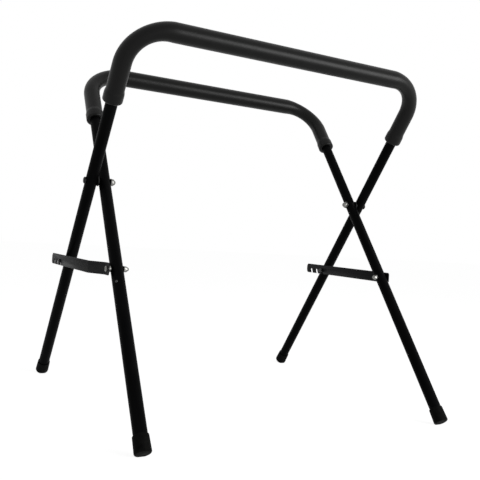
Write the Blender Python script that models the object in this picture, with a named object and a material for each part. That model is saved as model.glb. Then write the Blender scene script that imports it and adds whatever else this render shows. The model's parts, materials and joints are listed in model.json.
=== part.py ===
# Folding drum stand: two U frames of round tube crossed on pivot bolts, with padded
# top bars that cradle the drum, rubber feet, and a notched locking strap on each side.
# Metres, +Z up. X runs along the padded bars. The outer frame's bar is at the front (-Y)
# and its feet are at the back, and the inner frame is the other way round.
import math

import bmesh
import bpy
from mathutils import Matrix, Vector

# Gaps between pieces
TOUCH_GAP = 0.0003          # left where two pieces touch
FRAME_GAP = 0.003           # between the outer and the inner legs, along X

# Frames
TUBE_RADIUS = 0.0125
TUBE_WALL = 0.0015
OUTER_SPACING = 0.702       # between the outer frame's leg axes
OPEN_HALF_ANGLE = math.radians(38.2)
BAR_DISTANCE = 0.360        # pivot axis to the bar's axis, along the leg
FOOT_DISTANCE = 0.591       # pivot axis to the foot's end, along the leg
BEND_RADIUS = 0.082         # centre line of the bends under the foam
TUBE_SIDES_RESOLUTION = 4   # curve bevel resolution, 20 sides
BEND_STEPS = 8

# Foam sleeves on the bars
FOAM_RADIUS = 0.0203
FOAM_BEND_RADIUS = 0.0174   # the foam is stretched thin round the bends
FOAM_LEG_RADIUS = 0.0186
FOAM_END_RADIUS = 0.0204    # swollen at its cut ends
FOAM_END_SWELL = 0.018      # length of the swollen end
FOAM_EASE = 0.012           # length over which its thickness changes
OUTER_FOAM_ENDS = (0.193, 0.200)    # pivot axis to the foam's ends, left and right leg
INNER_FOAM_ENDS = (0.190, 0.206)
FOAM_LIP = 0.0045           # rounding of the foam's ends
FOAM_SIDES_RESOLUTION = 5   # 24 sides

# Rubber feet
FOOT_LENGTH = 0.031
FOOT_TOP_RADIUS = 0.0144
FOOT_BOTTOM_RADIUS = 0.0152
FOOT_FLOOR = 0.007          # thickness of rubber under the tube's end
FOOT_EDGE = 0.003           # rounding of the bottom edge
FOOT_FLAT = 0.0012          # depth worn flat where it stands

# Pivot hardware
PIVOT_BOLT_RADIUS = 0.004
PIVOT_HEAD_RADIUS = 0.0075
PIVOT_HEAD_HEIGHT = 0.0042
PIVOT_WASHER_RADIUS = 0.0085
PIVOT_SPACER_RADIUS = 0.0105
WASHER_THICKNESS = 0.0012
PIVOT_NUT_RADIUS = 0.0065   # across the flats, halved
PIVOT_NUT_HEIGHT = 0.0095

# Locking straps
STRAP_WIDTH = 0.0243
STRAP_THICKNESS = 0.002
STRAP_BOLT_DISTANCE = 0.2265    # pivot axis to the strap's bolt and to the hook stud
STRAP_BOLT_END = 0.014          # strap beyond its bolt
STRAP_FREE_END = 0.0235         # strap beyond its outermost slot
STRAP_CORNER = 0.005
STRAP_TIP_CORNER = 0.008
SLOT_COUNT = 3
SLOT_PITCH = 0.0265
SLOT_WIDTH = 0.0078
SLOT_DEPTH = 0.0126
SLOT_LEAN = math.radians(25.0)
STRAP_SPACER_THICKNESS = 0.005  # behind the left strap, on the inner leg
STRAP_SIDE_PLAY = 0.0005        # between the straps and what they slide past
JOGGLE_START = 0.014            # where the left strap starts to set outwards
JOGGLE_END = 0.052
HOOK_SETOFF = 0.0085            # left strap's inner face to the outer leg, at its stud

# Strap bolts and hook studs
SMALL_BOLT_RADIUS = 0.003
SMALL_HEAD_RADIUS = 0.0056
SMALL_HEAD_HEIGHT = 0.0034
SMALL_WASHER_RADIUS = 0.0065
SMALL_NUT_RADIUS = 0.005
SMALL_NUT_HEIGHT = 0.0095
SLEEVE_RADIUS = 0.0055

# Rivet on the inner left leg, below the strap's bolt
RIVET_DISTANCE = 0.2622
RIVET_HEAD_RADIUS = 0.0027
RIVET_HEAD_HEIGHT = 0.0012
RIVET_SHANK_RADIUS = 0.0016
RIVET_TURN = math.radians(37.0)  # round the leg from the front towards the outside

ROUND_STEPS = 20            # sides of turned hardware
HOLE_CLEARANCE = TOUCH_GAP
DRILL_TURN = math.tau / ROUND_STEPS / 4     # keeps a drill's corners off the tube's edges

# Sizes that follow from the ones above
LEG_STEP = 2 * TUBE_RADIUS + FRAME_GAP
INNER_SPACING = OUTER_SPACING - 2 * LEG_STEP
OUTER_LEG_X = OUTER_SPACING / 2
INNER_LEG_X = INNER_SPACING / 2
TUBE_END_DISTANCE = FOOT_DISTANCE - FOOT_FLOOR
HOOK_REACH = 2 * STRAP_BOLT_DISTANCE * math.sin(OPEN_HALF_ANGLE)
STUD_DROP = STRAP_WIDTH / 2 - SLOT_DEPTH + TOUCH_GAP + SMALL_BOLT_RADIUS
STRAP_TILT = math.asin(STUD_DROP / HOOK_REACH)
SEAT_DISTANCE = HOOK_REACH * math.cos(STRAP_TILT)

# Planes of the straps' inner faces, as distances from the middle
RIGHT_STRAP_PLANE = INNER_LEG_X + TUBE_RADIUS + STRAP_SIDE_PLAY
LEFT_STRAP_PLANE = INNER_LEG_X + TUBE_RADIUS + STRAP_SPACER_THICKNESS + 2 * TOUCH_GAP
LEFT_HOOK_PLANE = OUTER_LEG_X + TUBE_RADIUS + HOOK_SETOFF
LEFT_CLEAR_PLANE = OUTER_LEG_X + TUBE_RADIUS + STRAP_SIDE_PLAY
LEFT_STUD_END = LEFT_HOOK_PLANE + STRAP_THICKNESS + STRAP_SIDE_PLAY + SMALL_HEAD_HEIGHT

# The origin is under the middle of the whole object, which the left stud makes lopsided
FOAM_REACH = OUTER_LEG_X + FOAM_END_RADIUS
MIDDLE_X = (max(LEFT_STUD_END, FOAM_REACH) - FOAM_REACH) / 2
# Height of the pivot axis that leaves the feet's worn flats on the floor
FOOT_LOW = (
    (FOOT_DISTANCE - FOOT_EDGE) * math.cos(OPEN_HALF_ANGLE)
    + (FOOT_BOTTOM_RADIUS - FOOT_EDGE) * math.sin(OPEN_HALF_ANGLE)
    + FOOT_EDGE
)
PIVOT_HEIGHT = FOOT_LOW - FOOT_FLAT


def clear_scene():
    for item in list(bpy.data.objects):
        bpy.data.objects.remove(item, do_unlink=True)


def make_material(name, colour, roughness, metallic):
    material = bpy.data.materials.new(name)
    material.use_nodes = True
    shader = material.node_tree.nodes["Principled BSDF"]
    shader.inputs["Base Color"].default_value = (*colour, 1.0)
    shader.inputs["Roughness"].default_value = roughness
    shader.inputs["Metallic"].default_value = metallic
    return material


def powder_coat(name):
    return make_material(name, (0.012, 0.012, 0.013), 0.45, 0.0)


def black_foam(name):
    return make_material(name, (0.016, 0.016, 0.017), 0.65, 0.0)


def black_rubber(name):
    return make_material(name, (0.011, 0.011, 0.011), 0.75, 0.0)


def grey_steel(name):
    return make_material(name, (0.024, 0.024, 0.026), 0.40, 0.6)


def bright_zinc(name):
    return make_material(name, (0.62, 0.62, 0.60), 0.30, 1.0)


def black_oxide(name):
    return make_material(name, (0.018, 0.018, 0.019), 0.38, 0.8)


def white_nylon(name):
    return make_material(name, (0.60, 0.60, 0.57), 0.50, 0.0)


def add_empty(name, location, rotation_x, parent=None):
    empty = bpy.data.objects.new(name, None)
    empty.location = location
    empty.rotation_euler = (rotation_x, 0.0, 0.0)
    empty.parent = parent
    bpy.context.scene.collection.objects.link(empty)
    return empty


def add_object(name, mesh, parent, finish):
    item = bpy.data.objects.new(name, mesh)
    item.parent = parent
    bpy.context.scene.collection.objects.link(item)
    if finish is not None:
        item.data.materials.clear()
        item.data.materials.append(finish(name))
    return item


def shade_round(mesh):
    mesh.shade_smooth()
    mesh.set_sharp_from_angle(angle=math.radians(40.0))


def mesh_from_bmesh(name, shape):
    bmesh.ops.recalc_face_normals(shape, faces=shape.faces)
    mesh = bpy.data.meshes.new(name)
    shape.to_mesh(mesh)
    shape.free()
    shade_round(mesh)
    return mesh


def turned_mesh(name, profile, steps=ROUND_STEPS):
    """Spin a closed profile of (radius, height) points about Z."""
    shape = bmesh.new()
    corners = [shape.verts.new((radius, 0.0, height)) for radius, height in profile]
    edges = []
    for first, second in zip(corners, corners[1:] + corners[:1]):
        on_axis = first.co.x == 0.0 and second.co.x == 0.0
        if not on_axis:
            edges.append(shape.edges.new((first, second)))
    bmesh.ops.spin(
        shape, geom=corners + edges, cent=(0, 0, 0), axis=(0, 0, 1),
        angle=math.tau, steps=steps, use_merge=True,
    )
    bmesh.ops.remove_doubles(shape, verts=shape.verts, dist=1e-6)
    return mesh_from_bmesh(name, shape)


def along_x(mesh, start, side, y=0.0, z=0.0):
    """Lay a turned mesh's axis along X, pointing outwards on one side of the stand."""
    turn = Matrix.Rotation(side * math.pi / 2, 4, "Y")
    mesh.transform(Matrix.Translation((side * start, y, z)) @ turn)
    return mesh


def bend_points(spacing):
    """Centre line of the left bend in the frame's own upright plane, from leg to bar."""
    centre_x = BEND_RADIUS - spacing / 2
    centre_z = BAR_DISTANCE - BEND_RADIUS
    points = []
    for step in range(BEND_STEPS + 1):
        turn = math.pi - step * math.pi / 2 / BEND_STEPS
        points.append(Vector((
            centre_x + BEND_RADIUS * math.cos(turn), 0.0,
            centre_z + BEND_RADIUS * math.sin(turn),
        )))
    return points


def mirrored(points):
    return [Vector((-point.x, 0.0, point.z)) for point in reversed(points)]


def u_path(spacing, left_end, right_end):
    """Centre line of a U from one leg's end over the bar to the other's."""
    bend = bend_points(spacing)
    start = Vector((-spacing / 2, 0.0, left_end))
    finish = Vector((spacing / 2, 0.0, right_end))
    return [start] + bend + mirrored(bend) + [finish]


def swept_mesh(name, points, radius, resolution, radii=None):
    """Round bar along a path, with flat ends."""
    curve = bpy.data.curves.new(name, "CURVE")
    curve.dimensions = "3D"
    curve.bevel_depth = radius
    curve.bevel_resolution = resolution
    curve.use_fill_caps = True
    spline = curve.splines.new("POLY")
    spline.points.add(len(points) - 1)
    for index, point in enumerate(points):
        spline.points[index].co = (*point, 1.0)
        if radii is not None:
            spline.points[index].radius = radii[index] / radius
    guide = bpy.data.objects.new(name + "_guide", curve)
    bpy.context.scene.collection.objects.link(guide)
    depsgraph = bpy.context.evaluated_depsgraph_get()
    mesh = bpy.data.meshes.new_from_object(guide.evaluated_get(depsgraph))
    bpy.data.objects.remove(guide, do_unlink=True)
    shape = bmesh.new()
    shape.from_mesh(mesh)
    bmesh.ops.remove_doubles(shape, verts=shape.verts, dist=1e-6)
    return mesh_from_bmesh(name, shape)


def add_cutter(name, mesh, parent):
    cutter = add_object(name, mesh, parent, None)
    cutter.hide_render = True
    cutter.display_type = "WIRE"
    return cutter


def cut(item, cutter):
    modifier = item.modifiers.new(cutter.name, "BOOLEAN")
    modifier.operation = "DIFFERENCE"
    modifier.solver = "EXACT"
    modifier.object = cutter


def lengthened(points, extra):
    """The same path run past both of its ends."""
    first = points[0] + (points[0] - points[1]).normalized() * extra
    last = points[-1] + (points[-1] - points[-2]).normalized() * extra
    return [first] + points[1:-1] + [last]


def cross_hole_cutter(name, radius, distance, spacing, parent):
    """One long pin that drills both legs of a frame across, along X."""
    length = spacing + 4 * TUBE_RADIUS
    mesh = turned_mesh(name, [(0, 0), (radius, 0), (radius, length), (0, length)])
    mesh.transform(Matrix.Rotation(DRILL_TURN, 4, "Z"))
    along_x(mesh, -length / 2, 1, z=distance)
    return add_cutter(name, mesh, parent)


def add_frame_tube(name, spacing, parent):
    """Bent tube with its bore, its pivot holes and the holes for the strap hardware."""
    path = u_path(spacing, -TUBE_END_DISTANCE, -TUBE_END_DISTANCE)
    mesh = swept_mesh(name, path, TUBE_RADIUS, TUBE_SIDES_RESOLUTION)
    tube = add_object(name, mesh, parent, powder_coat)
    bore_mesh = swept_mesh(
        name + "_bore", lengthened(path, TUBE_WALL), TUBE_RADIUS - TUBE_WALL,
        TUBE_SIDES_RESOLUTION,
    )
    cut(tube, add_cutter(name + "_bore", bore_mesh, parent))
    pivot_radius = PIVOT_BOLT_RADIUS + HOLE_CLEARANCE
    cut(tube, cross_hole_cutter(name + "_pivot_hole", pivot_radius, 0.0, spacing, parent))
    small_radius = SMALL_BOLT_RADIUS + HOLE_CLEARANCE
    cut(tube, cross_hole_cutter(
        name + "_small_hole", small_radius, -STRAP_BOLT_DISTANCE, spacing, parent))
    return tube


def foam_leg(spacing, end_distance, lip_steps=3):
    """Left leg's share of the foam, as points with their radii, from its end upwards."""
    leg_x = -spacing / 2
    stations = []
    for step in range(lip_steps + 1):
        turn = step * math.pi / 2 / lip_steps
        height = end_distance + FOAM_LIP * (1 - math.cos(turn))
        stations.append((height, FOAM_END_RADIUS - FOAM_LIP * (1 - math.sin(turn))))
    swell_top = end_distance + FOAM_END_SWELL
    stations.append((swell_top, FOAM_END_RADIUS))
    stations.append((swell_top + FOAM_EASE / 2, (FOAM_END_RADIUS + FOAM_LEG_RADIUS) / 2))
    stations.append((swell_top + FOAM_EASE, FOAM_LEG_RADIUS))
    return [(Vector((leg_x, 0.0, height)), radius) for height, radius in stations]


def foam_bend(spacing):
    """Left bend's share of the foam, thinnest at its middle, up to the full bar."""
    stations = []
    for index, point in enumerate(bend_points(spacing)):
        share = index / BEND_STEPS
        straight = FOAM_LEG_RADIUS + (FOAM_RADIUS - FOAM_LEG_RADIUS) * share
        thinned = straight - FOAM_BEND_RADIUS
        stations.append((point, straight - thinned * math.sin(math.pi * share)))
    bar_start = stations[-1][0] + Vector((FOAM_EASE, 0.0, 0.0))
    return stations + [(bar_start, FOAM_RADIUS)]


def add_foam_sleeve(name, spacing, ends, parent):
    """Foam tube over the bar, the bends and the tops of the legs, with rounded ends."""
    bend = foam_bend(spacing)
    left = foam_leg(spacing, ends[0]) + bend
    right = foam_leg(spacing, ends[1]) + bend
    points = [point for point, radius in left] + mirrored([point for point, radius in right])
    radii = [radius for point, radius in left + right[::-1]]
    mesh = swept_mesh(name, points, FOAM_RADIUS, FOAM_SIDES_RESOLUTION, radii)
    foam = add_object(name, mesh, parent, black_foam)
    bore_path = lengthened(u_path(spacing, *ends), FOAM_LIP)
    bore_mesh = swept_mesh(
        name + "_bore", bore_path, TUBE_RADIUS + TOUCH_GAP, TUBE_SIDES_RESOLUTION)
    cut(foam, add_cutter(name + "_bore", bore_mesh, parent))
    return foam


def foot_profile():
    """Cup that slips over the tube's end, from its mouth down the outside and back."""
    edge_steps = 4
    mouth = FOOT_LENGTH
    mouth_edge = 0.0012
    inner = TUBE_RADIUS + TOUCH_GAP
    points = [
        (inner, mouth - mouth_edge / 2),
        (inner + mouth_edge / 2, mouth),
        (FOOT_TOP_RADIUS - mouth_edge / 2, mouth),
        (FOOT_TOP_RADIUS, mouth - mouth_edge / 2),
    ]
    for step in range(edge_steps + 1):
        turn = step * math.pi / 2 / edge_steps
        points.append((
            FOOT_BOTTOM_RADIUS - FOOT_EDGE + FOOT_EDGE * math.cos(turn),
            FOOT_EDGE - FOOT_EDGE * math.sin(turn),
        ))
    points.append((0.0, 0.0))
    points.append((0.0, FOOT_FLOOR - TOUCH_GAP))
    points.append((inner, FOOT_FLOOR - TOUCH_GAP))
    return points


def add_foot(name, leg_x, parent, floor_cutter):
    mesh = turned_mesh(name, foot_profile(), steps=24)
    mesh.transform(Matrix.Translation((leg_x, 0.0, -FOOT_DISTANCE)))
    foot = add_object(name, mesh, parent, black_rubber)
    cut(foot, floor_cutter)
    return foot


def add_floor_cutter(parent):
    """Everything under the floor, which wears the feet flat."""
    reach = OUTER_SPACING
    depth = 0.05
    shape = bmesh.new()
    bmesh.ops.create_cube(shape, size=1.0)
    bmesh.ops.scale(shape, vec=(2 * reach, 4 * reach, depth), verts=shape.verts)
    bmesh.ops.translate(shape, vec=(0, 0, -PIVOT_HEIGHT - depth / 2), verts=shape.verts)
    return add_cutter("floor_cutter", mesh_from_bmesh("floor_cutter", shape), parent)


def bolt_profile(shank_radius, shank_length, head_radius, head_height):
    """Domed head above zero and the shank below it."""
    rim = head_height * 0.35
    return [
        (0.0, -shank_length),
        (shank_radius * 0.8, -shank_length),
        (shank_radius, -shank_length + shank_radius * 0.2),
        (shank_radius, 0.0),
        (head_radius, 0.0),
        (head_radius, rim),
        (head_radius * 0.86, head_height * 0.72),
        (head_radius * 0.55, head_height * 0.94),
        (0.0, head_height),
    ]


def add_bolt(name, head_face, nut_face, side, sizes, z, parent, finish, outwards=True):
    """Bolt whose head seats on one plane and whose shank ends inside its nut."""
    shank_radius, head_radius, head_height, nut_grip = sizes
    length = abs(head_face - nut_face) + nut_grip
    profile = bolt_profile(shank_radius, length, head_radius, head_height)
    mesh = turned_mesh(name, profile)
    if not outwards:
        mesh.transform(Matrix.Rotation(math.pi, 4, "X"))
    return add_object(name, along_x(mesh, head_face, side, z=z), parent, finish)


def washer_mesh(name, outer, inner, thickness):
    chamfer = min(0.0003, thickness / 4)
    return turned_mesh(name, [
        (inner, 0.0), (outer - chamfer, 0.0), (outer, chamfer),
        (outer, thickness - chamfer), (outer - chamfer, thickness), (inner, thickness),
    ])


def add_washer(name, start, side, outer, inner, thickness, z, parent, finish):
    mesh = washer_mesh(name, outer, inner, thickness)
    return add_object(name, along_x(mesh, start, side, z=z), parent, finish)


def cap_nut_mesh(name, flats_radius, height):
    """Hexagon with a dome on top."""
    hexagon_height = height * 0.45
    shape = bmesh.new()
    bmesh.ops.create_circle(
        shape, cap_ends=True, segments=24, radius=flats_radius / math.cos(math.pi / 6))
    for corner in shape.verts:
        turn = math.atan2(corner.co.y, corner.co.x)
        flat_turn = (turn + math.pi / 6) % (math.pi / 3) - math.pi / 6
        corner.co.xy = corner.co.xy.normalized() * (flats_radius / math.cos(flat_turn))
    face = shape.faces[:][0]
    levels = [(1.0, hexagon_height)]
    dome_steps = 4
    dome_height = height - hexagon_height
    for step in range(1, dome_steps):
        turn = step * math.pi / 2 / dome_steps
        levels.append((0.9 * math.cos(turn * 0.9), hexagon_height + dome_height * math.sin(turn)))
    previous_z = 0.0
    for index, (scale, level) in enumerate(levels):
        grown = bmesh.ops.extrude_discrete_faces(shape, faces=[face])["faces"][0]
        face = grown
        bmesh.ops.translate(shape, verts=face.verts, vec=(0, 0, level - previous_z))
        target = flats_radius * scale
        if index > 0:
            for corner in face.verts:
                corner.co.xy = corner.co.xy.normalized() * target
        previous_z = level
    tip = bmesh.ops.poke(shape, faces=[face])["verts"][0]
    tip.co.z = height
    bmesh.ops.contextual_create(shape, geom=[edge for edge in shape.edges if edge.is_boundary])
    return mesh_from_bmesh(name, shape)


def add_cap_nut(name, start, side, sizes, z, parent, finish, towards_middle=True):
    """Closed nut on a bolt's end. It points towards the middle unless told otherwise."""
    flats_radius, height, bore_radius, bore_depth = sizes
    mesh = cap_nut_mesh(name, flats_radius, height)
    bore = turned_mesh(name + "_bore", [
        (0, -bore_radius), (bore_radius, -bore_radius), (bore_radius, bore_depth), (0, bore_depth)])
    if towards_middle:
        flip = Matrix.Rotation(math.pi, 4, "X")
        mesh.transform(flip)
        bore.transform(flip)
    nut = add_object(name, along_x(mesh, start, side, z=z), parent, finish)
    cut(nut, add_cutter(name + "_bore", along_x(bore, start, side, z=z), parent))
    return nut


def slot_points(centre, steps=8):
    """Open slot in the strap's lower edge: down its free side is last, so it is drawn
    from the free end's side of the mouth, round the closed top, to the bolt's side."""
    radius = SLOT_WIDTH / 2
    top_height = SLOT_DEPTH - STRAP_WIDTH / 2
    seat = Vector((centre, top_height - radius))
    # The closed end sits over the stud, and the mouth leans towards the bolt
    down = Vector((-math.sin(SLOT_LEAN), -math.cos(SLOT_LEAN)))
    across = Vector((math.cos(SLOT_LEAN), -math.sin(SLOT_LEAN)))
    lower_edge = -STRAP_WIDTH / 2
    points = []
    for side in (1.0, -1.0):
        wall = seat + across * radius * side
        run = (lower_edge - wall.y) / down.y
        points.append(wall + down * run)
    arc = []
    for step in range(steps + 1):
        turn = step * math.pi / steps
        arc.append(seat + across * radius * math.cos(turn) - down * radius * math.sin(turn))
    return [points[0]] + arc + [points[1]]


def corner_points(x, y, radius, start_turn, steps=4):
    """Quarter round at an outline's corner."""
    points = []
    for step in range(steps + 1):
        turn = start_turn + step * math.pi / 2 / steps
        points.append(Vector((x + radius * math.cos(turn), y + radius * math.sin(turn))))
    return points


def strap_outline():
    """Strap seen from its side, anticlockwise, with the bolt at the origin."""
    half = STRAP_WIDTH / 2
    last_slot = SEAT_DISTANCE + (SLOT_COUNT - 1) * SLOT_PITCH
    tip = last_slot + STRAP_FREE_END
    outline = []
    outline += corner_points(tip - STRAP_TIP_CORNER, half - STRAP_TIP_CORNER, STRAP_TIP_CORNER, 0.0)
    outline += corner_points(
        -STRAP_BOLT_END + STRAP_CORNER, half - STRAP_CORNER, STRAP_CORNER, math.pi / 2)
    outline += corner_points(
        -STRAP_BOLT_END + STRAP_CORNER, -half + STRAP_CORNER, STRAP_CORNER, math.pi)
    for index in range(SLOT_COUNT):
        slot = slot_points(SEAT_DISTANCE + index * SLOT_PITCH)
        outline += slot[::-1]
    outline += corner_points(
        tip - STRAP_TIP_CORNER, -half + STRAP_TIP_CORNER, STRAP_TIP_CORNER, 1.5 * math.pi)
    return outline


def left_strap_setoff(distance):
    """How far the left strap stands further out than at its bolt."""
    clear = LEFT_CLEAR_PLANE - LEFT_STRAP_PLANE
    hook = LEFT_HOOK_PLANE - LEFT_STRAP_PLANE
    if distance <= JOGGLE_START:
        return 0.0
    if distance <= JOGGLE_END:
        return clear * (distance - JOGGLE_START) / (JOGGLE_END - JOGGLE_START)
    slope = (hook - clear) / (SEAT_DISTANCE - JOGGLE_END)
    return clear + slope * (distance - JOGGLE_END)


def strap_mesh(name, side, plane):
    """Flat bar cut to its outline. The left one is set outwards past the outer leg."""
    shape = bmesh.new()
    corners = [shape.verts.new((0.0, point.x, point.y)) for point in strap_outline()]
    face = shape.faces.new(corners)
    grown = bmesh.ops.extrude_face_region(shape, geom=[face])
    moved = [part for part in grown["geom"] if isinstance(part, bmesh.types.BMVert)]
    bmesh.ops.translate(shape, verts=moved, vec=(side * STRAP_THICKNESS, 0, 0))
    if side < 0:
        for line in (JOGGLE_START, JOGGLE_END):
            everything = shape.verts[:] + shape.edges[:] + shape.faces[:]
            bmesh.ops.bisect_plane(
                shape, geom=everything, dist=1e-6, plane_co=(0, line, 0), plane_no=(0, 1, 0))
        for corner in shape.verts:
            corner.co.x -= left_strap_setoff(corner.co.y)
    bmesh.ops.translate(shape, verts=shape.verts, vec=(side * plane, 0, 0))
    return mesh_from_bmesh(name, shape)


def add_strap(name, side, plane, parent):
    strap = add_object(name, strap_mesh(name, side, plane), parent, grey_steel)
    hole_radius = SMALL_BOLT_RADIUS + HOLE_CLEARANCE
    length = 3 * STRAP_THICKNESS
    mesh = turned_mesh(name + "_hole", [
        (0, 0), (hole_radius, 0), (hole_radius, length), (0, length)])
    along_x(mesh, plane - STRAP_THICKNESS, side)
    cut(strap, add_cutter(name + "_hole", mesh, parent))
    return strap


def add_pivot(side, word, parent):
    """Bolt from the outside through both legs, with a spacer between them and a cap nut."""
    outer_face = OUTER_LEG_X + TUBE_RADIUS + TOUCH_GAP
    inner_face = INNER_LEG_X - TUBE_RADIUS - TOUCH_GAP
    nut_face = inner_face - WASHER_THICKNESS - TOUCH_GAP
    hole = PIVOT_BOLT_RADIUS + HOLE_CLEARANCE
    grip = PIVOT_NUT_HEIGHT * 0.55
    add_bolt(
        "pivot_bolt_" + word, outer_face, nut_face, side,
        (PIVOT_BOLT_RADIUS, PIVOT_HEAD_RADIUS, PIVOT_HEAD_HEIGHT, grip), 0.0, parent, black_oxide)
    add_washer(
        "pivot_spacer_" + word, INNER_LEG_X + TUBE_RADIUS + TOUCH_GAP, side,
        PIVOT_SPACER_RADIUS, hole, FRAME_GAP - 2 * TOUCH_GAP, 0.0, parent, white_nylon)
    add_washer(
        "pivot_washer_" + word, inner_face - WASHER_THICKNESS, side,
        PIVOT_WASHER_RADIUS, hole, WASHER_THICKNESS, 0.0, parent, bright_zinc)
    add_cap_nut(
        "pivot_nut_" + word, nut_face, side,
        (PIVOT_NUT_RADIUS, PIVOT_NUT_HEIGHT, hole, grip + TOUCH_GAP), 0.0, parent, bright_zinc)


def add_strap_hardware(side, word, plane, parent):
    """Bolt through the inner leg that the strap swings on, with its cap nut inside."""
    outer_face = plane + STRAP_THICKNESS + TOUCH_GAP
    inner_face = INNER_LEG_X - TUBE_RADIUS - TOUCH_GAP
    nut_face = inner_face - WASHER_THICKNESS - TOUCH_GAP
    hole = SMALL_BOLT_RADIUS + HOLE_CLEARANCE
    grip = SMALL_NUT_HEIGHT * 0.55
    z = -STRAP_BOLT_DISTANCE
    add_bolt(
        "strap_bolt_" + word, outer_face, nut_face, side,
        (SMALL_BOLT_RADIUS, SMALL_HEAD_RADIUS, SMALL_HEAD_HEIGHT, grip), z, parent, bright_zinc)
    add_washer(
        "strap_washer_" + word, inner_face - WASHER_THICKNESS, side,
        SMALL_WASHER_RADIUS, hole, WASHER_THICKNESS, z, parent, bright_zinc)
    add_cap_nut(
        "strap_nut_" + word, nut_face, side,
        (SMALL_NUT_RADIUS, SMALL_NUT_HEIGHT, hole, grip + TOUCH_GAP), z, parent, bright_zinc)


def add_left_stud(parent):
    """Headed bolt through the outer left leg, with a sleeve that sets the strap off."""
    z = -STRAP_BOLT_DISTANCE
    hole = SMALL_BOLT_RADIUS + HOLE_CLEARANCE
    grip = SMALL_NUT_HEIGHT * 0.55
    leg_face = OUTER_LEG_X + TUBE_RADIUS + TOUCH_GAP
    head_face = LEFT_HOOK_PLANE + STRAP_THICKNESS + STRAP_SIDE_PLAY
    nut_face = OUTER_LEG_X - TUBE_RADIUS - TOUCH_GAP
    add_bolt(
        "hook_stud_left", head_face, nut_face, -1,
        (SMALL_BOLT_RADIUS, SMALL_HEAD_RADIUS, SMALL_HEAD_HEIGHT, grip), z, parent, black_oxide)
    add_washer(
        "hook_sleeve_left", leg_face, -1, SLEEVE_RADIUS, hole,
        HOOK_SETOFF - STRAP_SIDE_PLAY - TOUCH_GAP, z, parent, black_oxide)
    add_cap_nut(
        "hook_nut_left", nut_face, -1,
        (SMALL_NUT_RADIUS, SMALL_NUT_HEIGHT, hole, grip + TOUCH_GAP), z, parent, bright_zinc)


def add_right_stud(parent):
    """Bolt through the outer right leg. The strap hooks on it behind its cap nut."""
    z = -STRAP_BOLT_DISTANCE
    hole = SMALL_BOLT_RADIUS + HOLE_CLEARANCE
    grip = SMALL_NUT_HEIGHT * 0.55
    head_face = OUTER_LEG_X + TUBE_RADIUS + TOUCH_GAP
    nut_face = RIGHT_STRAP_PLANE - STRAP_SIDE_PLAY
    add_bolt(
        "hook_stud_right", head_face, nut_face, 1,
        (SMALL_BOLT_RADIUS, SMALL_HEAD_RADIUS, SMALL_HEAD_HEIGHT, grip), z, parent, black_oxide)
    add_cap_nut(
        "hook_nut_right", nut_face, 1,
        (SMALL_NUT_RADIUS, SMALL_NUT_HEIGHT, hole, grip + TOUCH_GAP), z, parent, bright_zinc)


def add_leg_rivet(parent):
    """Rivet in the wall of the inner left leg, with a small hole drilled for it."""
    length = TUBE_WALL + 0.002
    mesh = turned_mesh("leg_rivet", bolt_profile(
        RIVET_SHANK_RADIUS, length, RIVET_HEAD_RADIUS, RIVET_HEAD_HEIGHT))
    hole_radius = RIVET_SHANK_RADIUS + HOLE_CLEARANCE
    hole = turned_mesh("leg_rivet_hole", [
        (0, -2 * length), (hole_radius, -2 * length), (hole_radius, length), (0, length)])
    outwards = Matrix.Rotation(math.pi / 2, 4, "X")
    round_leg = Matrix.Rotation(-RIVET_TURN, 4, "Z")
    reach = Matrix.Translation((0, 0, TUBE_RADIUS + TOUCH_GAP))
    place = Matrix.Translation((-INNER_LEG_X, 0, -RIVET_DISTANCE)) @ round_leg @ outwards @ reach
    mesh.transform(place)
    hole.transform(place)
    add_object("leg_rivet", mesh, parent, bright_zinc)
    return add_cutter("leg_rivet_hole", hole, parent)


def build():
    clear_scene()
    middle = add_empty("stand_middle", (MIDDLE_X, 0.0, PIVOT_HEIGHT), 0.0)
    outer = add_empty("outer_frame_axis", (0, 0, 0), OPEN_HALF_ANGLE, middle)
    inner = add_empty("inner_frame_axis", (0, 0, 0), -OPEN_HALF_ANGLE, middle)
    floor_cutter = add_floor_cutter(middle)

    add_frame_tube("outer_frame_tube", OUTER_SPACING, outer)
    add_foam_sleeve("outer_bar_foam", OUTER_SPACING, OUTER_FOAM_ENDS, outer)
    inner_tube = add_frame_tube("inner_frame_tube", INNER_SPACING, inner)
    add_foam_sleeve("inner_bar_foam", INNER_SPACING, INNER_FOAM_ENDS, inner)

    for side, word in ((-1, "left"), (1, "right")):
        add_foot("outer_foot_" + word, side * OUTER_LEG_X, outer, floor_cutter)
        add_foot("inner_foot_" + word, side * INNER_LEG_X, inner, floor_cutter)
        add_pivot(side, word, outer)

    strap_axis = add_empty(
        "strap_axis", (0, 0, -STRAP_BOLT_DISTANCE), OPEN_HALF_ANGLE + STRAP_TILT, inner)
    add_strap("strap_right", 1, RIGHT_STRAP_PLANE, strap_axis)
    add_strap("strap_left", -1, LEFT_STRAP_PLANE, strap_axis)
    add_strap_hardware(1, "right", RIGHT_STRAP_PLANE, inner)
    add_strap_hardware(-1, "left", LEFT_STRAP_PLANE, inner)
    add_washer(
        "strap_spacer_left", INNER_LEG_X + TUBE_RADIUS + TOUCH_GAP, -1, SMALL_WASHER_RADIUS,
        SMALL_BOLT_RADIUS + HOLE_CLEARANCE, STRAP_SPACER_THICKNESS, -STRAP_BOLT_DISTANCE,
        inner, bright_zinc)
    add_left_stud(outer)
    add_right_stud(outer)
    cut(inner_tube, add_leg_rivet(inner))


build()
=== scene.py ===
import json
import math

import bpy
from mathutils import Matrix, Vector


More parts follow.
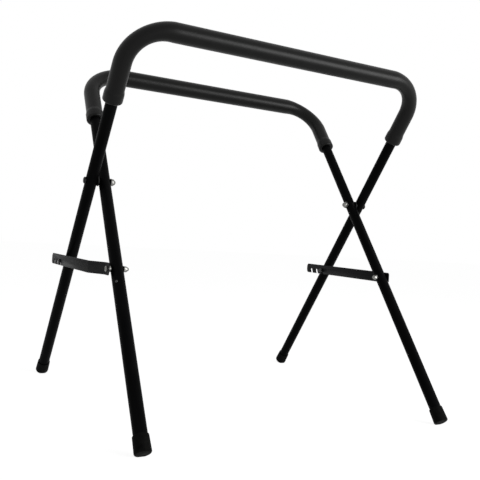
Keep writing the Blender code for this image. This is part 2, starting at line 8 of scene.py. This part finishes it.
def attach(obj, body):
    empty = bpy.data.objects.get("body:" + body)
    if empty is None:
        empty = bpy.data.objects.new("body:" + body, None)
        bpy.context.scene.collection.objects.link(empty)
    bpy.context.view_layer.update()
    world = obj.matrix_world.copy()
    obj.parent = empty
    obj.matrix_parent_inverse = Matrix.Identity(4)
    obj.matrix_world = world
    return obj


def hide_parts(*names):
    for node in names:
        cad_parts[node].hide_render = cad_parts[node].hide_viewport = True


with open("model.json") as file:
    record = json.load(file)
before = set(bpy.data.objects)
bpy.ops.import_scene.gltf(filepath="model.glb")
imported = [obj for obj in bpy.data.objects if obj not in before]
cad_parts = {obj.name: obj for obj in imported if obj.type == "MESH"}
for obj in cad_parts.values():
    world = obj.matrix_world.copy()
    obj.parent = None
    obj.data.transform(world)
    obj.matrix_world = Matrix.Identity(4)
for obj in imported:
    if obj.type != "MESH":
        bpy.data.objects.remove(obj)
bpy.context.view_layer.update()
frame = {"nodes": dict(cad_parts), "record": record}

NODES = frame["nodes"]
NODE_BODIES = {
    node: body for body, members in frame["record"]["behaviour"]["bodies"].items()
    for node in members
}

# Sizes of the stand, in metres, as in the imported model
TUBE_RADIUS = 0.0125
TUBE_WALL = 0.0015
OUTER_SPACING = 0.702
INNER_SPACING = 0.646
OPEN_HALF_ANGLE = math.radians(38.2)
BAR_DISTANCE = 0.360
TUBE_END_DISTANCE = 0.584
BEND_RADIUS = 0.082
STRAP_BOLT_DISTANCE = 0.2265
TOUCH_GAP = 0.0003
PIVOT_HOLE_RADIUS = 0.0043
SMALL_HOLE_RADIUS = 0.0033
PIVOT = Vector((0.00325, 0.0, 0.47143))

# Foam on the bars
FOAM_RADIUS = 0.0203
FOAM_BEND_RADIUS = 0.0174
FOAM_LEG_RADIUS = 0.0186
FOAM_END_RADIUS = 0.0204
FOAM_END_SWELL = 0.018
FOAM_EASE = 0.012
FOAM_LIP = 0.0045
OUTER_FOAM_ENDS = (0.193, 0.200)
INNER_FOAM_ENDS = (0.190, 0.206)

# Eased edges of the locking straps
STRAP_EDGE_EASE = 0.0004
EASE_SEGMENTS = 2

# How finely the dressed pieces are drawn
TUBE_SIDES = 48
BEND_STEPS = 20
LIP_STEPS = 6
EASE_STEPS = 6
FOAM_RESOLUTION = 12
BORE_RESOLUTION = 11
PIN_SIDES = 32
PIN_TURN = 0.05
QUARTER_TURN = math.pi / 2
SMOOTH_ANGLE = math.radians(35.0)
SHARP_ANGLE = math.radians(50.0)
FLAT_ANGLE = math.radians(1.0)
MERGE_DISTANCE = 0.00001
NODE_MERGE_DISTANCE = 0.000005

# How the noise in the finishes is read
NOISE_ROUGHNESS = 0.55
COLOUR_NOISE_RANGE = (0.35, 0.65)
ROUGHNESS_NOISE_RANGE = (0.3, 0.7)

# Floor, room and key lamp
WHITE = (1.0, 1.0, 1.0, 1.0)
FLOOR_SIDE = 40.0
FLOOR_COLOUR = (0.80, 0.80, 0.80, 1.0)
FLOOR_SHADED_COLOUR = (0.30, 0.30, 0.30, 1.0)
FLOOR_GLOW = 0.90
ROOM_FILL = 0.30
ROOM_WHITE = 1.0
KEY_PLACE = (1.60, -2.5, 0.85)
KEY_SIZE = (2.2, 1.4)
KEY_POWER = 84.0

# The photograph's viewpoint, solved from the edges of the tubes
CAMERA_RIGHT = (0.8687, -0.4921, 0.0566)
CAMERA_FORWARD = (0.4884, 0.8700, 0.0676)
CAMERA_FROM_PIVOT = (-0.6991, -1.4363, -0.1122)
SENSOR_WIDTH = 36.0
LENS = 50.357
SHIFT_X = -0.0803
SHIFT_Y = -0.0859


# Materials

def new_material(name, colour, roughness, metallic=0.0, specular=0.5):
    material = bpy.data.materials.new(name)
    material.use_nodes = True
    shader = material.node_tree.nodes["Principled BSDF"]
    shader.inputs["Base Color"].default_value = (*colour, 1.0)
    shader.inputs["Roughness"].default_value = roughness
    shader.inputs["Metallic"].default_value = metallic
    shader.inputs["Specular IOR Level"].default_value = specular
    return material


def object_noise(material, scale, detail=4.0, stretch=(1.0, 1.0, 1.0)):
    """Noise over the piece's own coordinates, stretched along its axes."""
    tree = material.node_tree
    place = tree.nodes.new("ShaderNodeTexCoord")
    mapping = tree.nodes.new("ShaderNodeMapping")
    mapping.inputs["Scale"].default_value = stretch
    noise = tree.nodes.new("ShaderNodeTexNoise")
    noise.inputs["Scale"].default_value = scale
    noise.inputs["Detail"].default_value = detail
    noise.inputs["Roughness"].default_value = NOISE_ROUGHNESS
    tree.links.new(place.outputs["Object"], mapping.inputs["Vector"])
    tree.links.new(mapping.outputs["Vector"], noise.inputs["Vector"])
    return noise.outputs["Fac"]


def vary_colour(material, value, dark, light):
    """Colour that drifts between two near shades."""
    tree = material.node_tree
    ramp = tree.nodes.new("ShaderNodeValToRGB")
    for stop, position, colour in zip(
            ramp.color_ramp.elements, COLOUR_NOISE_RANGE, (dark, light)):
        stop.position = position
        stop.color = (*colour, 1.0)
    tree.links.new(value, ramp.inputs["Fac"])
    shader = tree.nodes["Principled BSDF"]
    tree.links.new(ramp.outputs["Color"], shader.inputs["Base Color"])


def vary_roughness(material, value, smooth, rough):
    tree = material.node_tree
    spread = tree.nodes.new("ShaderNodeMapRange")
    spread.inputs["From Min"].default_value = ROUGHNESS_NOISE_RANGE[0]
    spread.inputs["From Max"].default_value = ROUGHNESS_NOISE_RANGE[1]
    spread.inputs["To Min"].default_value = smooth
    spread.inputs["To Max"].default_value = rough
    tree.links.new(value, spread.inputs["Value"])
    shader = tree.nodes["Principled BSDF"]
    tree.links.new(spread.outputs["Result"], shader.inputs["Roughness"])


def raise_surface(material, value, strength, distance):
    """Fine grain of the surface."""
    tree = material.node_tree
    bump = tree.nodes.new("ShaderNodeBump")
    bump.inputs["Strength"].default_value = strength
    bump.inputs["Distance"].default_value = distance
    tree.links.new(value, bump.inputs["Height"])
    shader = tree.nodes["Principled BSDF"]
    tree.links.new(bump.outputs["Normal"], shader.inputs["Normal"])


def make_powder_coat():
    """Black powder coat with its fine orange peel and faint dusty streaks."""
    material = new_material(
        "black_powder_coat", (0.0012, 0.0012, 0.0012), 0.45, specular=0.02)
    streaks = object_noise(material, 9.0, stretch=(6.0, 1.0, 1.0))
    vary_colour(
        material, streaks, dark=(0.0005, 0.0005, 0.0006), light=(0.0020, 0.0020, 0.0022))
    vary_roughness(material, object_noise(material, 40.0), smooth=0.36, rough=0.50)
    peel = object_noise(material, 1400.0, detail=2.0)
    raise_surface(material, peel, strength=0.12, distance=0.0002)
    return material


def make_foam():
    """Closed-cell foam with a satin skin and its fine pores."""
    material = new_material("black_foam", (0.0012, 0.0012, 0.0012), 0.37, specular=0.15)
    vary_colour(
        material, object_noise(material, 30.0),
        dark=(0.0006, 0.0006, 0.0005), light=(0.0015, 0.0015, 0.0013))
    vary_roughness(material, object_noise(material, 60.0), smooth=0.35, rough=0.40)
    pores = object_noise(material, 1800.0, detail=3.0)
    raise_surface(material, pores, strength=0.16, distance=0.0003)
    return material


def make_rubber():
    """Matt rubber of the feet."""
    material = new_material("black_rubber", (0.002, 0.002, 0.002), 0.58, specular=0.035)
    vary_colour(
        material, object_noise(material, 120.0),
        dark=(0.0008, 0.0008, 0.0008), light=(0.0030, 0.0030, 0.0028))
    vary_roughness(material, object_noise(material, 90.0), smooth=0.55, rough=0.75)
    grain = object_noise(material, 900.0, detail=3.0)
    raise_surface(material, grain, strength=0.20, distance=0.0003)
    return material


def make_strap_steel():
    """Dark grey coated flat bar with faint rolling marks along its length."""
    material = new_material("dark_strap_steel", (0.005, 0.005, 0.006), 0.45, specular=0.06)
    marks = object_noise(material, 60.0, stretch=(1.0, 0.12, 2.5))
    vary_colour(
        material, marks, dark=(0.0036, 0.0038, 0.0046), light=(0.0062, 0.0064, 0.0076))
    vary_roughness(material, marks, smooth=0.38, rough=0.52)
    grain = object_noise(material, 1100.0, detail=2.0)
    raise_surface(material, grain, strength=0.10, distance=0.0002)
    return material


def make_zinc():
    """Bright zinc plating with its faint cloudy spangle."""
    material = new_material("bright_zinc", (0.19, 0.19, 0.18), 0.34, metallic=1.0)
    clouds = object_noise(material, 260.0)
    vary_colour(material, clouds, dark=(0.13, 0.13, 0.12), light=(0.25, 0.25, 0.24))
    vary_roughness(material, clouds, smooth=0.28, rough=0.40)
    grain = object_noise(material, 2400.0, detail=2.0)
    raise_surface(material, grain, strength=0.08, distance=0.0001)
    return material


def make_black_oxide():
    """Blackened steel of the pivot bolts and hook studs."""
    material = new_material("black_oxide_steel", (0.008, 0.008, 0.009), 0.38, specular=0.16)
    clouds = object_noise(material, 240.0)
    vary_colour(material, clouds, dark=(0.005, 0.005, 0.006), light=(0.012, 0.012, 0.013))
    vary_roughness(material, clouds, smooth=0.32, rough=0.48)
    grain = object_noise(material, 2000.0, detail=2.0)
    raise_surface(material, grain, strength=0.10, distance=0.0001)
    return material


def make_dull_steel():
    """Grey plating that has gone dull."""
    material = new_material("dull_grey_steel", (0.06, 0.06, 0.06), 0.42, metallic=1.0)
    clouds = object_noise(material, 300.0)
    vary_colour(material, clouds, dark=(0.04, 0.04, 0.04), light=(0.08, 0.08, 0.08))
    vary_roughness(material, clouds, smooth=0.36, rough=0.50)
    grain = object_noise(material, 2200.0, detail=2.0)
    raise_surface(material, grain, strength=0.10, distance=0.0001)
    return material


def make_nylon():
    """Black nylon of the spacers between the legs."""
    material = new_material("black_nylon", (0.008, 0.008, 0.008), 0.45, specular=0.12)
    clouds = object_noise(material, 200.0)
    vary_colour(material, clouds, dark=(0.006, 0.006, 0.006), light=(0.011, 0.011, 0.011))
    grain = object_noise(material, 1500.0, detail=2.0)
    raise_surface(material, grain, strength=0.10, distance=0.0001)
    return material


POWDER_COAT = make_powder_coat()
FOAM = make_foam()
RUBBER = make_rubber()
STRAP_STEEL = make_strap_steel()
ZINC = make_zinc()
BLACK_OXIDE = make_black_oxide()
NYLON = make_nylon()
DULL_STEEL = make_dull_steel()


# Making pieces

def select_only(piece):
    bpy.ops.object.select_all(action="DESELECT")
    piece.select_set(True)
    bpy.context.view_layer.objects.active = piece


def dress(piece, material):
    piece.data.materials.clear()
    piece.data.materials.append(material)


def apply_place(piece):
    select_only(piece)
    bpy.ops.object.transform_apply(location=True, rotation=True, scale=True)


def apply_modifiers(piece):
    select_only(piece)
    for modifier in list(piece.modifiers):
        bpy.ops.object.modifier_apply(modifier=modifier.name)


def smooth(piece):
    select_only(piece)
    bpy.ops.object.shade_smooth_by_angle(angle=SMOOTH_ANGLE)


def lean(piece, angle):
    """Turn a piece about the stand's pivot axis into its place."""
    piece.location = PIVOT
    piece.rotation_euler = (angle, 0.0, 0.0)
    apply_place(piece)


def pull(offset):
    bpy.ops.mesh.extrude_region_move(TRANSFORM_OT_translate={"value": offset})


def bend(centre):
    """Carry the ring a quarter turn round a bend. Spin turns left-handed, so it is minus."""
    bpy.ops.mesh.spin(
        steps=BEND_STEPS, angle=-QUARTER_TURN, center=centre, axis=(0.0, 1.0, 0.0))


def cross_pin(radius, height):
    """Cylinder that drills both legs across. Its sides keep off the tube's edges."""
    bpy.ops.object.select_all(action="DESELECT")
    bpy.ops.mesh.primitive_cylinder_add(
        vertices=PIN_SIDES, radius=radius, depth=2 * OUTER_SPACING,
        location=(0.0, 0.0, height), rotation=(PIN_TURN, QUARTER_TURN, 0.0))
    pin = bpy.context.active_object
    apply_place(pin)
    return pin


def drill(piece, pin):
    modifier = piece.modifiers.new("drill", "BOOLEAN")
    modifier.operation = "DIFFERENCE"
    modifier.solver = "EXACT"
    modifier.object = pin
    apply_modifiers(piece)
    bpy.data.objects.remove(pin)


def bent_tube(name, spacing, angle):
    """One frame's tube: a ring pulled up a leg, over the bar and down the other leg."""
    half = spacing / 2
    straight = BAR_DISTANCE - BEND_RADIUS
    leg = straight + TUBE_END_DISTANCE
    bpy.ops.object.select_all(action="DESELECT")
    bpy.ops.mesh.primitive_circle_add(
        vertices=TUBE_SIDES, radius=TUBE_RADIUS, fill_type="NOTHING",
        location=(0.0, 0.0, 0.0))
    tube = bpy.context.active_object
    tube.name = name
    bpy.ops.object.mode_set(mode="EDIT")
    bpy.ops.mesh.select_all(action="SELECT")
    bpy.ops.transform.translate(value=(-half, 0.0, -TUBE_END_DISTANCE))
    pull((0.0, 0.0, leg))
    bend((BEND_RADIUS - half, 0.0, straight))
    pull((spacing - 2 * BEND_RADIUS, 0.0, 0.0))
    bend((half - BEND_RADIUS, 0.0, straight))
    pull((0.0, 0.0, -leg))
    bpy.ops.mesh.select_all(action="SELECT")
    bpy.ops.mesh.remove_doubles(threshold=MERGE_DISTANCE)
    bpy.ops.mesh.normals_make_consistent(inside=False)
    bpy.ops.object.mode_set(mode="OBJECT")
    wall = tube.modifiers.new("wall", "SOLIDIFY")
    wall.thickness = TUBE_WALL
    wall.offset = -1.0
    apply_modifiers(tube)
    drill(tube, cross_pin(PIVOT_HOLE_RADIUS, 0.0))
    drill(tube, cross_pin(SMALL_HOLE_RADIUS, -STRAP_BOLT_DISTANCE))
    lean(tube, angle)
    smooth(tube)
    dress(tube, POWDER_COAT)
    return tube


def bend_centres(spacing):
    """Centre line of the left bend, from leg to bar."""
    points = []
    for step in range(BEND_STEPS + 1):
        turn = math.pi - step * math.pi / 2 / BEND_STEPS
        points.append(Vector((
            BEND_RADIUS - spacing / 2 + BEND_RADIUS * math.cos(turn), 0.0,
            BAR_DISTANCE - BEND_RADIUS + BEND_RADIUS * math.sin(turn),
        )))
    return points


def ease(share):
    """Share of the way that starts and ends gently."""
    return share * share * (3.0 - 2.0 * share)


def foam_side(spacing, end_distance):
    """Left half of a foam sleeve's centre line with its radii, from its end to the bar."""
    leg_x = -spacing / 2
    stations = []
    for step in range(LIP_STEPS + 1):
        turn = step * math.pi / 2 / LIP_STEPS
        height = end_distance + FOAM_LIP * (1 - math.cos(turn))
        stations.append((height, FOAM_END_RADIUS - FOAM_LIP * (1 - math.sin(turn))))
    for step in range(EASE_STEPS + 1):
        share = step / EASE_STEPS
        height = end_distance + FOAM_END_SWELL + FOAM_EASE * share
        radius = FOAM_END_RADIUS + (FOAM_LEG_RADIUS - FOAM_END_RADIUS) * ease(share)
        stations.append((height, radius))
    side = [(Vector((leg_x, 0.0, height)), radius) for height, radius in stations]
    for index, point in enumerate(bend_centres(spacing)):
        share = index / BEND_STEPS
        straight = FOAM_LEG_RADIUS + (FOAM_RADIUS - FOAM_LEG_RADIUS) * share
        thinned = straight - FOAM_BEND_RADIUS
        side.append((point, straight - thinned * math.sin(math.pi * share)))
    bar_start = side[-1][0] + Vector((FOAM_EASE, 0.0, 0.0))
    return side + [(bar_start, FOAM_RADIUS)]


def sweep(name, stations, resolution):
    """Round bar along a line of points with their radii, made into a closed mesh."""
    curve = bpy.data.curves.new(name, "CURVE")
    curve.dimensions = "3D"
    curve.bevel_depth = 1.0
    curve.bevel_resolution = resolution
    curve.use_fill_caps = True
    spline = curve.splines.new("POLY")
    spline.points.add(len(stations) - 1)
    for index, (point, radius) in enumerate(stations):
        spline.points[index].co = (*point, 1.0)
        spline.points[index].radius = radius
    piece = bpy.data.objects.new(name, curve)
    bpy.context.scene.collection.objects.link(piece)
    select_only(piece)
    bpy.ops.object.convert(target="MESH")
    bpy.ops.object.mode_set(mode="EDIT")
    bpy.ops.mesh.select_all(action="SELECT")
    bpy.ops.mesh.remove_doubles(threshold=MERGE_DISTANCE)
    bpy.ops.mesh.normals_make_consistent(inside=False)
    bpy.ops.object.mode_set(mode="OBJECT")
    return piece


def foam_sleeve(name, spacing, ends, angle):
    """Foam over one bar, swollen at its cut ends and stretched thin round the bends."""
    left = foam_side(spacing, ends[0])
    right = [
        (Vector((-point.x, 0.0, point.z)), radius)
        for point, radius in reversed(foam_side(spacing, ends[1]))
    ]
    foam = sweep(name, left + right, FOAM_RESOLUTION)
    bore_radius = TUBE_RADIUS + TOUCH_GAP
    bore_points = [point for point, _ in left + right]
    past_the_end = Vector((0.0, 0.0, FOAM_LIP))
    bore_points[0] = bore_points[0] - past_the_end
    bore_points[-1] = bore_points[-1] - past_the_end
    bore_line = [(point, bore_radius) for point in bore_points]
    drill(foam, sweep(name + "_bore", bore_line, BORE_RESOLUTION))
    lean(foam, angle)
    smooth(foam)
    dress(foam, FOAM)
    return foam


def finer_copy(node, material, edge_ease):
    """Copy of a CAD node, merged, with its sharp edges eased where the finish asks for it."""
    piece = NODES[node].copy()
    piece.data = NODES[node].data.copy()
    piece.name = node + "_finish"
    piece.parent = None
    # The node's own marks stay with the node
    for key in [key for key in piece.keys() if key.startswith("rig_")]:
        del piece[key]
    bpy.context.scene.collection.objects.link(piece)
    select_only(piece)
    bpy.ops.object.mode_set(mode="EDIT")
    bpy.ops.mesh.select_all(action="SELECT")
    bpy.ops.mesh.remove_doubles(threshold=NODE_MERGE_DISTANCE)
    bpy.ops.mesh.dissolve_limited(angle_limit=FLAT_ANGLE)
    bpy.ops.object.mode_set(mode="OBJECT")
    if edge_ease > 0.0:
        edge = piece.modifiers.new("edge", "BEVEL")
        edge.width = edge_ease
        edge.segments = EASE_SEGMENTS
        edge.limit_method = "ANGLE"
        edge.angle_limit = SHARP_ANGLE
        apply_modifiers(piece)
    smooth(piece)
    dress(piece, material)
    return piece


def settle(piece, body, node):
    """Let a piece move with its body, in the place of its CAD node."""
    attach(piece, body)
    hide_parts(node)


# Frames
for node, spacing, angle in (
    ("outer_frame_tube", OUTER_SPACING, OPEN_HALF_ANGLE),
    ("inner_frame_tube", INNER_SPACING, -OPEN_HALF_ANGLE),
):
    settle(bent_tube(node + "_finish", spacing, angle), NODE_BODIES[node], node)

# Foam
for node, spacing, ends, angle in (
    ("outer_bar_foam", OUTER_SPACING, OUTER_FOAM_ENDS, OPEN_HALF_ANGLE),
    ("inner_bar_foam", INNER_SPACING, INNER_FOAM_ENDS, -OPEN_HALF_ANGLE),
):
    sleeve = foam_sleeve(node + "_finish", spacing, ends, angle)
    settle(sleeve, NODE_BODIES[node], node)

# Everything else keeps its CAD form, and the straps have eased edges
FINISHES = (
    (RUBBER, 0.0, (
        "outer_foot_left", "outer_foot_right", "inner_foot_left", "inner_foot_right")),
    (STRAP_STEEL, STRAP_EDGE_EASE, ("strap_left", "strap_right")),
    (ZINC, 0.0, (
        "pivot_nut_left", "pivot_nut_right", "strap_nut_left", "strap_nut_right",
        "hook_nut_left", "strap_bolt_left", "strap_bolt_right", "strap_spacer_left")),
    (DULL_STEEL, 0.0, (
        "hook_nut_right", "leg_rivet", "pivot_washer_left", "pivot_washer_right",
        "strap_washer_left", "strap_washer_right")),
    (BLACK_OXIDE, 0.0, (
        "pivot_bolt_left", "pivot_bolt_right", "hook_stud_left", "hook_stud_right",
        "hook_sleeve_left")),
    (NYLON, 0.0, ("pivot_spacer_left", "pivot_spacer_right")),
)
for finish, edge_ease, nodes in FINISHES:
    for node in nodes:
        settle(finer_copy(node, finish, edge_ease), NODE_BODIES[node], node)


# Floor, light and camera

def camera_sees(tree):
    """One where the camera looks straight at a surface or sees it in a gloss or a glass."""
    path = tree.nodes.new("ShaderNodeLightPath")
    straight = tree.nodes.new("ShaderNodeMath")
    straight.operation = "MAXIMUM"
    tree.links.new(path.outputs["Is Camera Ray"], straight.inputs[0])
    tree.links.new(path.outputs["Is Glossy Ray"], straight.inputs[1])
    either = tree.nodes.new("ShaderNodeMath")
    either.operation = "MAXIMUM"
    tree.links.new(straight.outputs["Value"], either.inputs[0])
    tree.links.new(path.outputs["Is Transmission Ray"], either.inputs[1])
    return either.outputs["Value"]


def make_floor():
    """Pale floor that lights the stand plainly and shows white, with its shadows kept."""
    bpy.ops.object.select_all(action="DESELECT")
    bpy.ops.mesh.primitive_plane_add(size=FLOOR_SIDE, location=(0.0, 0.0, 0.0))
    floor = bpy.context.active_object
    floor.name = "floor"
    material = bpy.data.materials.new("pale_floor")
    material.use_nodes = True
    tree = material.node_tree
    tree.nodes.clear()
    plain = tree.nodes.new("ShaderNodeBsdfDiffuse")
    plain.inputs["Color"].default_value = FLOOR_COLOUR
    shaded = tree.nodes.new("ShaderNodeBsdfDiffuse")
    shaded.inputs["Color"].default_value = FLOOR_SHADED_COLOUR
    glow = tree.nodes.new("ShaderNodeEmission")
    glow.inputs["Strength"].default_value = FLOOR_GLOW
    seen = tree.nodes.new("ShaderNodeAddShader")
    tree.links.new(shaded.outputs["BSDF"], seen.inputs[0])
    tree.links.new(glow.outputs["Emission"], seen.inputs[1])
    choice = tree.nodes.new("ShaderNodeMixShader")
    tree.links.new(camera_sees(tree), choice.inputs["Fac"])
    tree.links.new(plain.outputs["BSDF"], choice.inputs[1])
    tree.links.new(seen.outputs["Shader"], choice.inputs[2])
    output = tree.nodes.new("ShaderNodeOutputMaterial")
    tree.links.new(choice.outputs["Shader"], output.inputs["Surface"])
    floor.data.materials.append(material)


def make_world():
    """White room whose own light on the stand is only a soft fill."""
    world = bpy.data.worlds.new("studio")
    bpy.context.scene.world = world
    world.use_nodes = True
    tree = world.node_tree
    tree.nodes.clear()
    fill = tree.nodes.new("ShaderNodeBackground")
    fill.inputs["Color"].default_value = WHITE
    fill.inputs["Strength"].default_value = ROOM_FILL
    white = tree.nodes.new("ShaderNodeBackground")
    white.inputs["Color"].default_value = WHITE
    white.inputs["Strength"].default_value = ROOM_WHITE
    choice = tree.nodes.new("ShaderNodeMixShader")
    tree.links.new(camera_sees(tree), choice.inputs["Fac"])
    tree.links.new(fill.outputs["Background"], choice.inputs[1])
    tree.links.new(white.outputs["Background"], choice.inputs[2])
    output = tree.nodes.new("ShaderNodeOutputWorld")
    tree.links.new(choice.outputs["Shader"], output.inputs["Surface"])


def add_softbox(name, place, size, power):
    """Wide lamp that faces the middle of the stand."""
    bpy.ops.object.light_add(type="AREA", location=place)
    lamp = bpy.context.active_object
    lamp.name = name
    lamp.data.shape = "RECTANGLE"
    lamp.data.size = size[0]
    lamp.data.size_y = size[1]
    lamp.data.energy = power
    towards = PIVOT - Vector(place)
    lamp.rotation_euler = towards.to_track_quat("-Z", "Y").to_euler()


def make_camera():
    right = Vector(CAMERA_RIGHT).normalized()
    forward = Vector(CAMERA_FORWARD).normalized()
    upward = right.cross(forward).normalized()
    right = forward.cross(upward).normalized()
    turn = Matrix((right, upward, -forward)).transposed()
    place = PIVOT + Vector(CAMERA_FROM_PIVOT)
    bpy.ops.object.camera_add()
    camera = bpy.context.active_object
    camera.name = "photo_camera"
    camera.matrix_world = Matrix.Translation(place) @ turn.to_4x4()
    camera.data.sensor_width = SENSOR_WIDTH
    camera.data.lens = LENS
    camera.data.shift_x = SHIFT_X
    camera.data.shift_y = SHIFT_Y
    bpy.context.scene.camera = camera


make_floor()
make_world()
add_softbox("key_softbox", KEY_PLACE, KEY_SIZE, KEY_POWER)
make_camera()
bpy.context.scene.view_settings.view_transform = "Standard"
